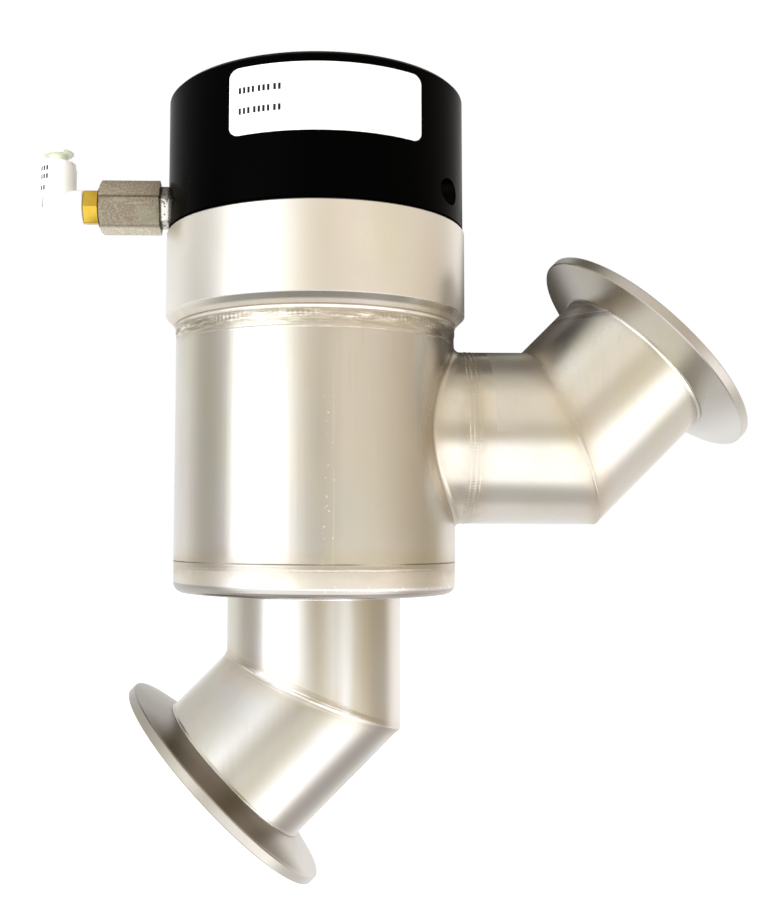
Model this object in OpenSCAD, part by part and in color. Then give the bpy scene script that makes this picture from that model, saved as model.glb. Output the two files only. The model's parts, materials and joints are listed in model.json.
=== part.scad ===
// Air-operated diaphragm valve for vacuum lines, angle pattern, with two mitred clamp-flange ports.
// Millimetres, +Z up along the stem. The origin is the centre of the lower port's sealing face.
// Shapes on the valve axis are drawn with z = 0 at the joint between the cap and the steel ring.

/* [Body] */
// Outside diameter of the body tube
body_od = 82.55; // [82:0.05:84]
// Wall of the body tube
body_wall = 2.1; // [1.6:0.1:2.5]
// Outside diameter of the steel ring under the cap
ring_od = 88.9; // [88:0.1:90]
// Height of the ring's straight side
ring_side = 24.8; // [24:0.1:26]
// Distance from the cap joint down to the underside of the bottom plate
body_depth = 105.7; // [105:0.1:108]

/* [Ports] */
// Outside diameter of both port tubes
port_od = 50.8; // [50:0.1:51]
// Wall of both port tubes
port_wall = 1.65; // [1.2:0.05:2]
// Distance from the cap joint down to the side port's axis
side_port_drop = 60; // [59:0.5:62]
// Distance from the valve axis to the side port's mitre
side_leg = 72.3; // [70:0.1:90]
// Distance from the cap joint down to the lower port's mitre
lower_leg = 134; // [132:0.5:150]
// Distance from each mitre to its sealing face
elbow_leg = 38.4; // [36:0.1:60]

/* [Flanges] */
// Outside diameter of the clamp flanges
flange_od = 75; // [74.5:0.1:75.5]
// Thickness of a flange at its rim
flange_rim = 2.9; // [2.8:0.1:3.4]
// Slope of the clamp's taper, in degrees
flange_taper = 15; // [14:0.5:16]
// Diameter of the recess for the centring ring
recess_d = 52.2; // [52:0.1:52.6]
// Depth of that recess
recess_depth = 2.6; // [2.4:0.1:3]

/* [Actuator] */
// Outside diameter of the cap
cap_od = 88; // [87:0.1:88.4]
// Height of the cap above the joint
cap_h = 40.3; // [40:0.1:44]
// Travel of the stem
stroke = 13; // [10:0.5:13]
// Diameter of the stem
stem_d = 12; // [11.8:0.1:12]
// Wire of the return spring
spring_wire = 3.2; // [2.8:0.1:3.2]

/* [Air fitting] */
// Height of the air inlet above the joint
inlet_h = 9; // [8.5:0.1:9.2]
// Width across the flats of the steel coupling
coupling_af = 14.2; // [14:0.1:14.4]
// Length of the steel coupling
coupling_len = 18; // [17.8:0.1:20]
// Outside diameter of the air tube that the fitting takes
air_tube_d = 4; // [4:0.1:4.1]

/* [Hidden] */

$fn = 96;
mitre = 45;                             // angle of each elbow
body_r = body_od / 2;
body_in = body_r - body_wall;
ring_r = ring_od / 2;
port_r = port_od / 2;
port_in = port_r - port_wall;
flange_r = flange_od / 2;
cap_r = cap_od / 2;
stem_r = stem_d / 2;
run_fit = 0.03;                         // radial clearance of a running fit
gap = 0.05;                             // clearance between still parts that only meet

// Where the valve axis and the cap joint stand, seen from the lower port's face
axis_x = elbow_leg * sin(mitre);
joint_z = lower_leg + elbow_leg * cos(mitre);

// Steel ring and bottom plate
ring_chamfer = 2.7;
ring_bottom = -ring_side - ring_chamfer;
ledge_z = -18;                          // ledge in the ring that carries the bonnet plate
ledge_r = 35.5;
thread_r = 40;                          // thread between the cap and the ring
plate_top = -body_depth + 7.1;
seat_z = plate_top + 2;                 // top of the seat's land
seat_in = 24.5;
seat_out = 31.5;

// Bonnet plate
bonnet_top = -9;
hub_z = ledge_z - 3.5;                  // underside of the bonnet's hub
hub_r = 13;
bushing_r = 8;
gland_r = 8.7;
gland_low = -12.9;
gland_top = -10.2;

// Diaphragm, piston and clamp ring inside the cap
bore_r = 33.5;                          // bore that the diaphragm rolls up
roof_z = cap_h - 5;                     // underside of the cap's roof
rim_z = 18.5;                           // shoulder that the diaphragm's rim is held against
rim_r = 36.5;
cloth = 0.8;                            // thickness of the diaphragm
clamp_top = rim_z - 0.9;
clamp_h = 4;
skirt_r = 30.3;                         // outside of the piston's skirt
skirt_top = roof_z - stroke - 0.1;      // the skirt stops on the roof when the valve is open
piston_floor = 3.2;
roll_z = 19.5;                          // centre of the diaphragm's roll with the valve closed
tip_r = 4;                              // threaded end of the stem
washer_t = 2.5;

// Poppet, seal and bellows, with the valve closed
seal_wire = 3.53;
seal_squeeze = 0.55;
poppet_low = seat_z + seal_squeeze + gap;
poppet_h = 9.5;
poppet_top = poppet_low + poppet_h;
poppet_r = 31;
seal_r = 27.9;
collar_h = 3.5;
bellows_high = hub_z - collar_h;
bellows_low = poppet_top + collar_h;
bellows_folds = 16;
stem_low = poppet_top - 3;

// Air fitting: distances from the valve axis towards -X, all on the inlet's axis
npt_r = 5.1;                            // 1/8 inch pipe thread
spot_x = 43.4;                          // flat spot in the cap's side
coupling_x = 46.5;
gasket_x = coupling_x + coupling_len;
brass_x = gasket_x + 0.5;
brass_end = brass_x + 4.4;
elbow_x = brass_end + 0.2;
barrel_x = 77.85;                       // axis of the elbow's upright barrel
barrel_r = 5.6;
barrel_top = 22.6;
socket_r = 4;
tube_r = air_tube_d / 2 + 0.05;
guide_low = 19.9;
button_travel = 1.5;
button_low = guide_low - 1.05;

// ---------- helpers ----------

module on_valve() { translate([axis_x, 0, joint_z]) children(); }

// A round part from its half outline, given as [radius, height] points
module turned(outline) { rotate_extrude() polygon(outline); }

module ring_shape(r_out, r_in, z_low, z_high) {
    turned([[r_in, z_low], [r_out, z_low], [r_out, z_high], [r_in, z_high]]);
}

module o_ring(centre_r, section_r, z) {
    translate([0, 0, z]) rotate_extrude() translate([centre_r, 0]) circle(section_r);
}

// Points along an arc, for outlines
function arc(x, y, r, from, to, steps = 8) =
    [for (i = [0:steps]) let (a = from + (to - from) * i / steps) [x + r * cos(a), y + r * sin(a)]];

// A straight pipe that starts at the mitre point of a port and runs along `angle`, from +Z towards +X
module pipe(corner, angle, low, high, r_out = port_r, r_in = port_in) {
    translate(corner) rotate([0, angle, 0]) ring_shape(r_out, r_in, low, high);
}

// Everything ahead of a mitre cut
module ahead(corner, angle) {
    side = 3 * port_od;
    translate(corner) rotate([0, angle, 0]) translate([-side / 2, -side / 2, 0]) cube(side);
}

side_corner = [side_leg, 0, -side_port_drop];
lower_corner = [0, 0, -lower_leg];
side_cut = 90 - mitre / 2;
lower_cut = 180 + mitre / 2;

// A clamp flange, with z = 0 at its sealing face and its neck below
flange_neck = flange_rim + (flange_r - port_r - 0.8) * tan(flange_taper);
module clamp_flange() {
    edge = 0.3;
    turned([
        [port_in, -flange_neck], [port_r, -flange_neck], [port_r + 0.8, -flange_neck],
        [flange_r - edge, -flange_rim], [flange_r, -flange_rim + edge], [flange_r, -edge],
        [flange_r - edge, 0], [recess_d / 2, 0], [recess_d / 2, -recess_depth],
        [port_in, -recess_depth]
    ]);
}

module on_side_face() {
    translate(side_corner) rotate([0, 90 - mitre, 0]) translate([0, 0, elbow_leg]) children();
}
module on_lower_face() {
    translate(lower_corner) rotate([0, 180 + mitre, 0]) translate([0, 0, elbow_leg]) children();
}

// Parts on the inlet's axis are drawn along +Z and then laid down towards -X
module on_inlet() { translate([0, 0, inlet_h]) rotate([0, -90, 0]) children(); }

module hexagon(across_flats, from, to, turn) {
    rotate([0, 0, turn]) translate([0, 0, from])
        cylinder(h = to - from, r = across_flats / sqrt(3), $fn = 6);
}

// A hexagon whose corners are turned off at its ends
module chamfered_hexagon(across_flats, from, to, turn, chamfer, start_share = 1) {
    corner_r = across_flats / sqrt(3);
    start = chamfer * start_share;
    intersection() {
        hexagon(across_flats, from, to, turn);
        turned([
            [0, from], [corner_r - start, from], [corner_r + 0.1, from + start * 0.7],
            [corner_r + 0.1, to - chamfer * 0.7], [corner_r - chamfer, to], [0, to]
        ]);
    }
}

module on_barrel() { translate([-barrel_x, 0, 0]) children(); }

// ---------- actuator ----------

hole_r = 3.7;                           // blind holes for a pin spanner, one at each side
hole_z = 8.1;
hole_turn = 58.5;
hole_lean = 44;                         // they lean this much from the radius
hole_depth = 5.2;
vent_r = 1;

module actuator_cap() {
    edge = 0.8;
    color([0.06, 0.06, 0.07]) on_valve() difference() {
        turned([
            [0, cap_h], [cap_r - edge, cap_h], [cap_r, cap_h - edge], [cap_r, 0.3], [cap_r - 0.3, 0],
            [thread_r - gap, 0], [thread_r - gap, bonnet_top + gap], [rim_r, bonnet_top + gap],
            [rim_r, rim_z], [bore_r, rim_z], [bore_r, roof_z], [0, roof_z]
        ]);
        on_inlet() {
            cylinder(h = cap_r + 1, r = npt_r);
            translate([0, 0, spot_x]) cylinder(h = 5, r = 7);
        }
        for (turn = [hole_turn, hole_turn + 180])
            rotate([0, 0, turn]) translate([0, -cap_r, hole_z]) rotate([0, 0, hole_lean])
                translate([0, hole_depth, 0]) rotate([90, 0, 0]) cylinder(h = hole_depth + 8, r = hole_r);
        rotate([0, 0, 180]) translate([0, -cap_r - 1, roof_z - 4]) rotate([-90, 0, 0])
            cylinder(h = 20, r = vent_r);
    }
}

label_low = 18.5;
label_high = 37.2;
label_half = 36.8;                      // half of the angle that the label covers
label_turn = 3.2;
label_t = 0.18;

module cap_label() {
    corner = 2.6;
    half_w = cap_r * sin(label_half);
    color([0.97, 0.97, 0.97]) on_valve() intersection() {
        ring_shape(cap_r + label_t, cap_r, label_low - 1, label_high + 1);
        rotate([90, 0, label_turn]) linear_extrude(height = 60) {
            for (x = [-half_w + corner, half_w - corner], z = [label_low + corner, label_high - corner])
                translate([x, z]) circle(corner);
            translate([-half_w + corner, label_low])
                square([2 * (half_w - corner), label_high - label_low]);
            translate([-half_w, label_low + corner])
                square([2 * half_w, label_high - label_low - 2 * corner]);
        }
    }
}

module diaphragm() {
    roll_r = (bore_r - skirt_r) / 2;
    roll_x = (bore_r + skirt_r) / 2;
    bend = 1.5;
    color([0.15, 0.13, 0.12]) on_valve() turned(concat(
        [[tip_r + gap, 0]],
        arc(skirt_r - bend, bend, bend, -90, 0, 4),
        arc(roll_x, roll_z, roll_r, 180, 0),
        [[bore_r, rim_z], [rim_r - gap, rim_z], [rim_r - gap, clamp_top], [bore_r - cloth, clamp_top]],
        arc(roll_x, roll_z, roll_r - cloth, 0, 180),
        arc(skirt_r - bend, bend, bend + cloth, 0, -90, 4),
        [[tip_r + gap, -cloth]]
    ));
}

module diaphragm_clamp_ring() {
    color("silver") on_valve()
        ring_shape(rim_r - gap, bore_r - cloth, clamp_top - clamp_h, clamp_top);
}

module piston() {
    bend = 1.5;
    skirt_in = skirt_r - 3.5;
    color("silver") on_valve() turned(concat(
        [[tip_r + gap, 0]],
        arc(skirt_r - bend, bend, bend, -90, 0, 4),
        [[skirt_r, skirt_top], [skirt_in, skirt_top], [skirt_in, piston_floor],
         [tip_r + gap, piston_floor]]
    ));
}

module diaphragm_washer() {
    color("silver") on_valve()
        ring_shape(skirt_r - 2, tip_r + gap, -cloth - washer_t, -cloth);
}

module piston_nut() {
    color("gray") on_valve() difference() {
        chamfered_hexagon(13, piston_floor, piston_floor + 6.5, 0, 0.5);
        cylinder(h = 3 * piston_floor + 6.5, r = tip_r);
    }
}

spring_r = 20;                          // radius of the spring's wire centre
spring_turns = 4.5;
spring_steps = 24;                      // points in one turn
spring_sides = 10;

// Height of the wire's centre after t turns: closed at both ends, open between
function spring_rise(t, low, high) =
    let (closed = 0.75, pitch = 1.02 * spring_wire,
         open = (high - low - 2 * closed * pitch) / (spring_turns - 2 * closed))
    low + pitch * min(t, closed) + open * max(0, min(t, spring_turns - closed) - closed)
        + pitch * max(0, t - spring_turns + closed);

module return_spring() {
    low = piston_floor + spring_wire / 2 + gap;
    high = roof_z - spring_wire / 2 - gap;
    rings = spring_turns * spring_steps;
    points = [
        for (i = [0:rings], k = [0:spring_sides - 1])
            let (a = 360 * i / spring_steps, b = 360 * k / spring_sides,
                 r = spring_r + spring_wire / 2 * cos(b))
            [r * cos(a), r * sin(a),
             spring_rise(i / spring_steps, low, high) + spring_wire / 2 * sin(b)]
    ];
    walls = [
        for (i = [0:rings - 1], k = [0:spring_sides - 1], half = [0, 1])
            let (next = (k + 1) % spring_sides, a = i * spring_sides, b = a + spring_sides)
            half == 0 ? [a + k, b + k, a + next] : [a + next, b + k, b + next]
    ];
    start = [[for (k = [0:spring_sides - 1]) k]];
    end = [[for (k = [spring_sides - 1:-1:0]) rings * spring_sides + k]];
    color("dimgray") on_valve() polyhedron(points, concat(walls, start, end));
}

// ---------- bonnet ----------

face_seal_r = 37.6;
face_seal_wire = 2;
air_seal_r = 38.2;
air_seal_wire = 1.6;

module bonnet_plate() {
    color("silver") on_valve() turned([
        [bushing_r, hub_z], [hub_r, hub_z], [hub_r, ledge_z],
        [face_seal_r - 1.4, ledge_z], [face_seal_r - 1.4, ledge_z + face_seal_wire],
        [face_seal_r + 1.4, ledge_z + face_seal_wire], [face_seal_r + 1.4, ledge_z],
        [thread_r - gap, ledge_z], [thread_r - gap, bonnet_top],
        [air_seal_r + 1.1, bonnet_top], [air_seal_r + 1.1, bonnet_top - air_seal_wire],
        [air_seal_r - 1.1, bonnet_top - air_seal_wire], [air_seal_r - 1.1, bonnet_top],
        [10.5, bonnet_top], [10.5, gland_top], [gland_r, gland_top],
        [gland_r, gland_low], [bushing_r, gland_low]
    ]);
}

module bonnet_seal() {
    color([0.1, 0.1, 0.1]) on_valve()
        o_ring(face_seal_r, face_seal_wire / 2, ledge_z + face_seal_wire / 2);
}

module air_seal() {
    color([0.1, 0.1, 0.1]) on_valve()
        o_ring(air_seal_r, air_seal_wire / 2, bonnet_top - air_seal_wire / 2);
}

module stem_bushing() {
    color([0.72, 0.5, 0.2]) on_valve() ring_shape(bushing_r, stem_r + run_fit, hub_z, gland_low);
}

module stem_seal() {
    seal_in = stem_r + run_fit;
    section_r = (gland_r - seal_in) / 2 - 0.01;
    color([0.1, 0.1, 0.1]) on_valve()
        o_ring((gland_r + seal_in) / 2, section_r, (gland_low + gland_top) / 2);
}

module seal_retainer() {
    color("gray") on_valve() ring_shape(10.5, stem_r + 0.2, gland_top, bonnet_top);
}

// ---------- stem, poppet and bellows ----------

module stem() {
    tip_top = piston_floor + 8;
    screw_r = 3;
    color("silver") on_valve() turned([
        [0, stem_low + 16], [screw_r, stem_low + 16], [screw_r, stem_low], [stem_r, stem_low],
        [stem_r, -cloth - washer_t], [tip_r, -cloth - washer_t], [tip_r, tip_top - 0.6],
        [tip_r - 0.6, tip_top], [0, tip_top]
    ]);
}

head_h = 3.7;

module poppet() {
    groove = seal_wire / 2 + 0.08;
    groove_top = poppet_low - seal_squeeze + seal_wire + 0.02;
    edge = 1.5;
    color("silver") on_valve() turned([
        [stem_r, poppet_top], [stem_r, stem_low], [3, stem_low],
        [3, poppet_low + head_h], [5.6, poppet_low + head_h], [5.6, poppet_low],
        [seal_r - groove, poppet_low], [seal_r - groove, groove_top],
        [seal_r + groove, groove_top], [seal_r + groove, poppet_low],
        [poppet_r - 0.3, poppet_low], [poppet_r, poppet_low + 0.3],
        [poppet_r, poppet_top - edge], [poppet_r - edge, poppet_top]
    ]);
}

module poppet_seal() {
    color([0.1, 0.1, 0.1]) on_valve()
        o_ring(seal_r, seal_wire / 2, poppet_low - seal_squeeze + seal_wire / 2);
}

module poppet_screw() {
    color("gray") on_valve() difference() {
        turned([
            [0, poppet_low], [5, poppet_low], [5, poppet_low + head_h], [3, poppet_low + head_h],
            [3, stem_low + 14], [0, stem_low + 14]
        ]);
        translate([0, 0, poppet_low - 1]) cylinder(h = 3, r = 4 / sqrt(3), $fn = 6);
    }
}

module bellows_top_collar() {
    color("silver") on_valve() ring_shape(15, bushing_r, bellows_high, hub_z);
}

module bellows_bottom_collar() {
    color("silver") on_valve() ring_shape(15, stem_r + gap, poppet_top, bellows_low);
}

module bellows() {
    crest_r = 16.5;
    root_r = 11;
    half_sheet = 0.43;                  // measured along the radius, because the folds are steep
    pitch = (bellows_high - bellows_low) / bellows_folds;
    side = [
        for (i = [0:2 * bellows_folds])
            [i % 2 == 0 ? root_r : crest_r, bellows_low + i * pitch / 2]
    ];
    outside = [for (p = side) [p[0] + half_sheet, p[1]]];
    inside = [for (i = [len(side) - 1:-1:0]) [side[i][0] - half_sheet, side[i][1]]];
    color([0.75, 0.75, 0.72]) on_valve() turned(concat(outside, inside));
}

// ---------- body ----------

module body_ring() {
    step = 0.45;                        // the ring's lower edge stands a little proud of the tube
    edge = 0.3;
    color([0.72, 0.7, 0.67]) on_valve() turned([
        [ledge_r, ring_bottom], [body_r + step, ring_bottom], [ring_r, -ring_side],
        [ring_r, -edge], [ring_r - edge, 0], [thread_r, 0], [thread_r, ledge_z], [ledge_r, ledge_z]
    ]);
}

module body_tube() {
    color([0.75, 0.73, 0.7]) on_valve() difference() {
        ring_shape(body_r, body_in, plate_top, ring_bottom);
        translate([0, 0, -side_port_drop]) rotate([0, 90, 0]) cylinder(h = body_od, r = port_r);
    }
}

module bottom_plate() {
    round_r = 2.8;
    tube_step = -body_depth + 4.2;      // top of the socket for the lower port's tube
    color([0.72, 0.7, 0.67]) on_valve() turned(concat(
        [[port_r, -body_depth]],
        arc(body_r - round_r, -body_depth + round_r, round_r, -90, 0, 6),
        [[body_r, plate_top], [seat_out, plate_top], [seat_out, seat_z], [seat_in, seat_z],
         [port_in, seat_z - 0.75], [port_in, tube_step], [port_r, tube_step]]
    ));
}

// ---------- ports ----------

collar_end = 44.45;                     // weld between the pulled collar and the port tube

module side_port_collar() {
    color([0.76, 0.74, 0.71]) on_valve() difference() {
        pipe([0, 0, -side_port_drop], 90, 10, collar_end);
        ring_shape(body_in, 0, -side_port_drop - port_od, -side_port_drop + port_od);
    }
}

module side_port_tube() {
    color([0.74, 0.72, 0.69]) on_valve() difference() {
        pipe([0, 0, -side_port_drop], 90, collar_end, side_leg + port_od);
        ahead(side_corner, side_cut);
    }
}

module side_elbow_tube() {
    color([0.75, 0.73, 0.7]) on_valve() intersection() {
        pipe(side_corner, 90 - mitre, -port_od, elbow_leg - flange_neck);
        ahead(side_corner, side_cut);
    }
}

module side_flange() {
    color([0.7, 0.68, 0.65]) on_valve() on_side_face() clamp_flange();
}

module lower_port_tube() {
    color([0.74, 0.72, 0.69]) on_valve() difference() {
        pipe([0, 0, 0], 180, body_depth - 4.2, lower_leg + port_od);
        ahead(lower_corner, lower_cut);
    }
}

module lower_elbow_tube() {
    color([0.75, 0.73, 0.7]) on_valve() intersection() {
        pipe(lower_corner, 180 + mitre, -port_od, elbow_leg - flange_neck);
        ahead(lower_corner, lower_cut);
    }
}

module lower_flange() {
    color([0.7, 0.68, 0.65]) on_valve() on_lower_face() clamp_flange();
}

// ---------- air fitting ----------

passage_r = 2.5;

module hex_nipple() {
    color([0.8, 0.8, 0.78]) on_valve() on_inlet() difference() {
        union() {
            hexagon(11.1, spot_x, coupling_x, -19.6);
            translate([0, 0, 37]) cylinder(h = 17, r = npt_r);
        }
        translate([0, 0, 36]) cylinder(h = 20, r = passage_r);
    }
}

module hex_coupling() {
    color([0.62, 0.6, 0.56]) on_valve() on_inlet() difference() {
        chamfered_hexagon(coupling_af, coupling_x, gasket_x, -22.5, 1, 0.2);
        translate([0, 0, coupling_x - 1]) cylinder(h = coupling_len + 2, r = npt_r);
    }
}

module fitting_gasket() {
    color([0.08, 0.08, 0.08]) on_valve() on_inlet() ring_shape(6.0, npt_r, gasket_x, brass_x);
}

neck_r = 3.6;
neck_end = 75.25;
swivel_groove = 72.25;
groove_deep = 1;

module fitting_body() {
    color([0.85, 0.62, 0.2]) on_valve() on_inlet() difference() {
        union() {
            chamfered_hexagon(9.7, brass_x, brass_end, -40, 0.3);
            translate([0, 0, gasket_x - 8]) cylinder(h = brass_x - gasket_x + 8, r = npt_r);
            translate([0, 0, brass_end - 1]) cylinder(h = neck_end - brass_end + 1, r = neck_r);
        }
        translate([0, 0, gasket_x - 9]) cylinder(h = neck_end - gasket_x + 10, r = 1.6);
        ring_shape(neck_r + 1, neck_r - groove_deep, swivel_groove, swivel_groove + 1.6);
    }
}

module swivel_seal() {
    section_r = (groove_deep + run_fit) / 2 - 0.01;
    color([0.1, 0.1, 0.1]) on_valve() on_inlet()
        o_ring(neck_r + run_fit - 0.01 - section_r, section_r, swivel_groove + 0.8);
}

module elbow_body() {
    foot = 3.6;                         // bottom of the upright barrel
    arm_r = 5.2;
    color([0.95, 0.95, 0.93]) on_valve() difference() {
        union() {
            on_barrel() turned(concat(
                [[0, foot]],
                arc(barrel_r - 3, foot + 3, 3, -90, 0, 6),
                arc(barrel_r - 1, barrel_top - 1, 1, 0, 90, 4),
                [[0, barrel_top]]
            ));
            on_inlet() translate([0, 0, elbow_x]) cylinder(h = barrel_x - elbow_x, r = arm_r);
        }
        on_inlet() {
            translate([0, 0, elbow_x - 1]) cylinder(h = neck_end - elbow_x + 1.2, r = neck_r + run_fit);
            translate([0, 0, elbow_x]) cylinder(h = barrel_x - elbow_x, r = 1.5);
        }
        on_barrel() {
            translate([0, 0, inlet_h]) cylinder(h = 20, r = 1.5);
            translate([0, 0, 11.2]) cylinder(h = 20, r = tube_r);
            translate([0, 0, 12.6]) cylinder(h = 20, r = socket_r);
        }
    }
}

module tube_seal() {
    color([0.1, 0.1, 0.1]) on_valve() on_barrel()
        ring_shape(socket_r - 0.02, tube_r + 0.02, 12.7, 14.7);
}

collet_low = 14.9;
collet_top = 17.3;

module collet() {
    color("silver") on_valve() on_barrel() difference() {
        turned([
            [socket_r - 1, collet_low], [socket_r - 0.02, collet_low], [socket_r - 0.02, collet_top],
            [socket_r - 0.5, collet_top], [tube_r + 0.5, collet_low + 0.7],
            [tube_r + 0.2, collet_low + 0.4], [tube_r + 0.5, collet_low + 0.1]
        ]);
        for (turn = [0:60:120])
            rotate([0, 0, turn]) translate([-5, -0.25, collet_low - 1])
                cube([10, 0.5, 1.9]);
    }
}

module collet_guide() {
    color([0.9, 0.9, 0.88]) on_valve() on_barrel()
        ring_shape(socket_r - 0.02, 2.95, guide_low, barrel_top - 0.3);
}

module release_button() {
    sleeve_r = 2.92;
    flange_low = 24.9;
    flange_top = 25.9;
    color([0.86, 0.88, 0.8]) on_valve() on_barrel() difference() {
        union() {
            turned([
                [0, button_low], [3.3, button_low], [3.3, guide_low - 0.1],
                [sleeve_r, guide_low - 0.1], [sleeve_r, flange_top], [0, flange_top]
            ]);
            intersection() {            // an oval flange, wider along X
                turned([
                    [0, flange_low], [4.2, flange_low], [4.65, flange_low + 0.35],
                    [4.65, flange_top - 0.3], [4.35, flange_top], [0, flange_top]
                ]);
                translate([-5, -4, flange_low - 1]) cube([10, 8, 3]);
            }
        }
        translate([0, 0, button_low - 1]) cylinder(h = 10, r = tube_r);
        turned([[0, flange_top + 1], [tube_r + 1.4, flange_top + 1], [tube_r, flange_top - 0.5],
                [0, flange_top - 0.5]]);
    }
}

actuator_cap();
cap_label();
body_ring();
body_tube();
bottom_plate();
side_port_collar();
side_port_tube();
side_elbow_tube();
side_flange();
lower_port_tube();
lower_elbow_tube();
lower_flange();
bonnet_plate();
bonnet_seal();
air_seal();
stem_bushing();
stem_seal();
seal_retainer();
stem();
poppet();
poppet_seal();
poppet_screw();
bellows_top_collar();
bellows();
bellows_bottom_collar();
diaphragm();
diaphragm_clamp_ring();
diaphragm_washer();
piston();
piston_nut();
return_spring();
hex_nipple();
hex_coupling();
fitting_gasket();
fitting_body();
elbow_body();
swivel_seal();
tube_seal();
collet();
collet_guide();
release_button();
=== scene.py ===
# %% [markdown]
# # An air-operated diaphragm valve, dressed for its portrait
#
# The real object is a vacuum valve: a black actuator cap on a stainless body, two mitred ports with
# clamp flanges, and a push-in air fitting at its side. The shapes, sizes and joints are already fixed
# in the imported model. This notebook loads that model, adds the welds, rounded edges and small pieces
# that only the eye needs, and mixes a finish for every surface.

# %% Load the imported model
import json
import math

import bmesh
import bpy
from mathutils import Matrix, Vector, noise


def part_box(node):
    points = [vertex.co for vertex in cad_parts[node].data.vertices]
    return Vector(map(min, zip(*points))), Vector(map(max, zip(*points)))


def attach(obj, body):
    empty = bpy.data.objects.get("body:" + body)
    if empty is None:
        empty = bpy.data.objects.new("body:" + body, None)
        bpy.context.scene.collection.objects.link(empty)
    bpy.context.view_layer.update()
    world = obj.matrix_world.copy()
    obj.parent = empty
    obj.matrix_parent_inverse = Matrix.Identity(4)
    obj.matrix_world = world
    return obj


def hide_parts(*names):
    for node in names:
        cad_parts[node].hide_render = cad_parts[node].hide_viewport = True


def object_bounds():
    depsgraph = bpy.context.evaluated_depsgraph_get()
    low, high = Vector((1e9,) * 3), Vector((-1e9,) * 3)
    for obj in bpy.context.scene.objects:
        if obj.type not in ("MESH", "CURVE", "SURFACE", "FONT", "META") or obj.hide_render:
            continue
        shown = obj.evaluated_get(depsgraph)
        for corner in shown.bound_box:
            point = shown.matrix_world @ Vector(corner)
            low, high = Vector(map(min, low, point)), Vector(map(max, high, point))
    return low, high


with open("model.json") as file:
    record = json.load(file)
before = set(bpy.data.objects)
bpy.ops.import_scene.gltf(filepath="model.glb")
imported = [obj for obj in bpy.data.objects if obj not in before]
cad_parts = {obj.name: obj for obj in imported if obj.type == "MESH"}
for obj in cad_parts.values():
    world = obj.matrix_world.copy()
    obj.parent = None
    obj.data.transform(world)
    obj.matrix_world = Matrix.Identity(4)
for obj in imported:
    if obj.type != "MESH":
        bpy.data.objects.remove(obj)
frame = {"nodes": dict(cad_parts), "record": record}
cad_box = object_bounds()
nodes = frame["nodes"]

# %% [markdown]
# ## Landmarks
#
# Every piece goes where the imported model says. The ring under the cap gives the valve's axis and the
# height of the joint, the tubes give the port radius, and the flanges' mounts give the two port
# directions. From here on, `spot(x, y, z)` takes millimetres counted from the joint on the valve's
# axis, which is how a fitter would measure the valve.

# %% Measure the landmarks
MM = 0.001

ring_low, ring_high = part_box("body_ring")
body_low, body_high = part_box("body_tube")
axis_x = (ring_low.x + ring_high.x) / 2
joint_z = ring_high.z
body_r = (body_high.y - body_low.y) / 2 / MM
port_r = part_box("side_port_tube")[1].y / MM
collar_x = (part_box("side_port_tube")[0].x - axis_x) / MM
ring_foot = (ring_low.z - joint_z) / MM
plate_low, plate_high = [(corner.z - joint_z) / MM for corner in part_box("bottom_plate")]


def spot(x, y, z):
    """A point in metres, from millimetres counted from the joint on the valve's axis."""
    return Vector((axis_x + x * MM, y * MM, joint_z + z * MM))


print("axis %.1f, joint %.1f, body radius %.2f, port radius %.1f mm"
      % (axis_x / MM, joint_z / MM, body_r, port_r))

# %% [markdown]
# New objects are all made the same way, so two short functions do it: one for any kind of data, and
# one for a mesh that was built by hand.

# %% Add objects to the scene
def add_object(name, data):
    made = bpy.data.objects.new(name, data)
    bpy.context.collection.objects.link(made)
    return made


def add_mesh(name, mesh):
    data = bpy.data.meshes.new(name)
    mesh.to_mesh(data)
    mesh.free()
    return add_object(name, data)


print("objects can be added")

# %% [markdown]
# The side tube's box also holds the mitred corner, so its middle isn't the port's axis. The collar
# is plain, and its box gives the height exactly. The mounts hold the two sealing faces and the way
# they look, and the mitre lies where a port's straight axis meets the axis of its flange.

# %% Find the mitres
side_z = (sum(corner.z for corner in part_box("side_port_collar")) / 2 - joint_z) / MM
mounts = {mount["name"]: mount for mount in frame["record"]["mounts"]}


def in_valve(point):
    """Millimetres from the joint on the valve's axis, for a point in metres."""
    return Vector(((point[0] - axis_x) / MM, point[1] / MM, (point[2] - joint_z) / MM))


side_face = in_valve(mounts["side_port_recess"]["pos_m"])
lower_face = in_valve(mounts["lower_port_recess"]["pos_m"])
side_corner_x = side_face.x - (side_face.z - side_z)
lower_corner_z = lower_face.z - lower_face.x
print("side port axis at", round(side_z, 2), "mitre at x", round(side_corner_x, 2))
print("lower mitre at z", round(lower_corner_z, 2))

# %% [markdown]
# ## Camera
#
# The valve is seen from the front, a little from the left of its axis and from the height of its
# foot, so the rings of cap and body bow upwards. The lens is a short tele, and the frame is shifted
# rather than turned, which keeps the tubes upright.

# %% Set the camera
camera_data = bpy.data.cameras.new("camera")
camera_data.sensor_width = 36
camera_data.lens = 45.75
camera_data.shift_x = 0.0905
camera_data.shift_y = -0.0277
camera = add_object("camera", camera_data)
camera.location = (0.01935, -0.3473, 0.07397)
camera.rotation_euler = [math.radians(angle) for angle in (94.573, -0.296, -0.563)]
bpy.context.scene.camera = camera

# %% [markdown]
# ## Writing finishes as sums
#
# A finish is a small graph of shader nodes, and graphs are slow to read as node calls. The class
# below wraps one output of a node. Adding, multiplying or comparing two of them puts in the Math node
# that does it, and `node` puts in any other kind, so a mask reads like the formula that it is.

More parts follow.
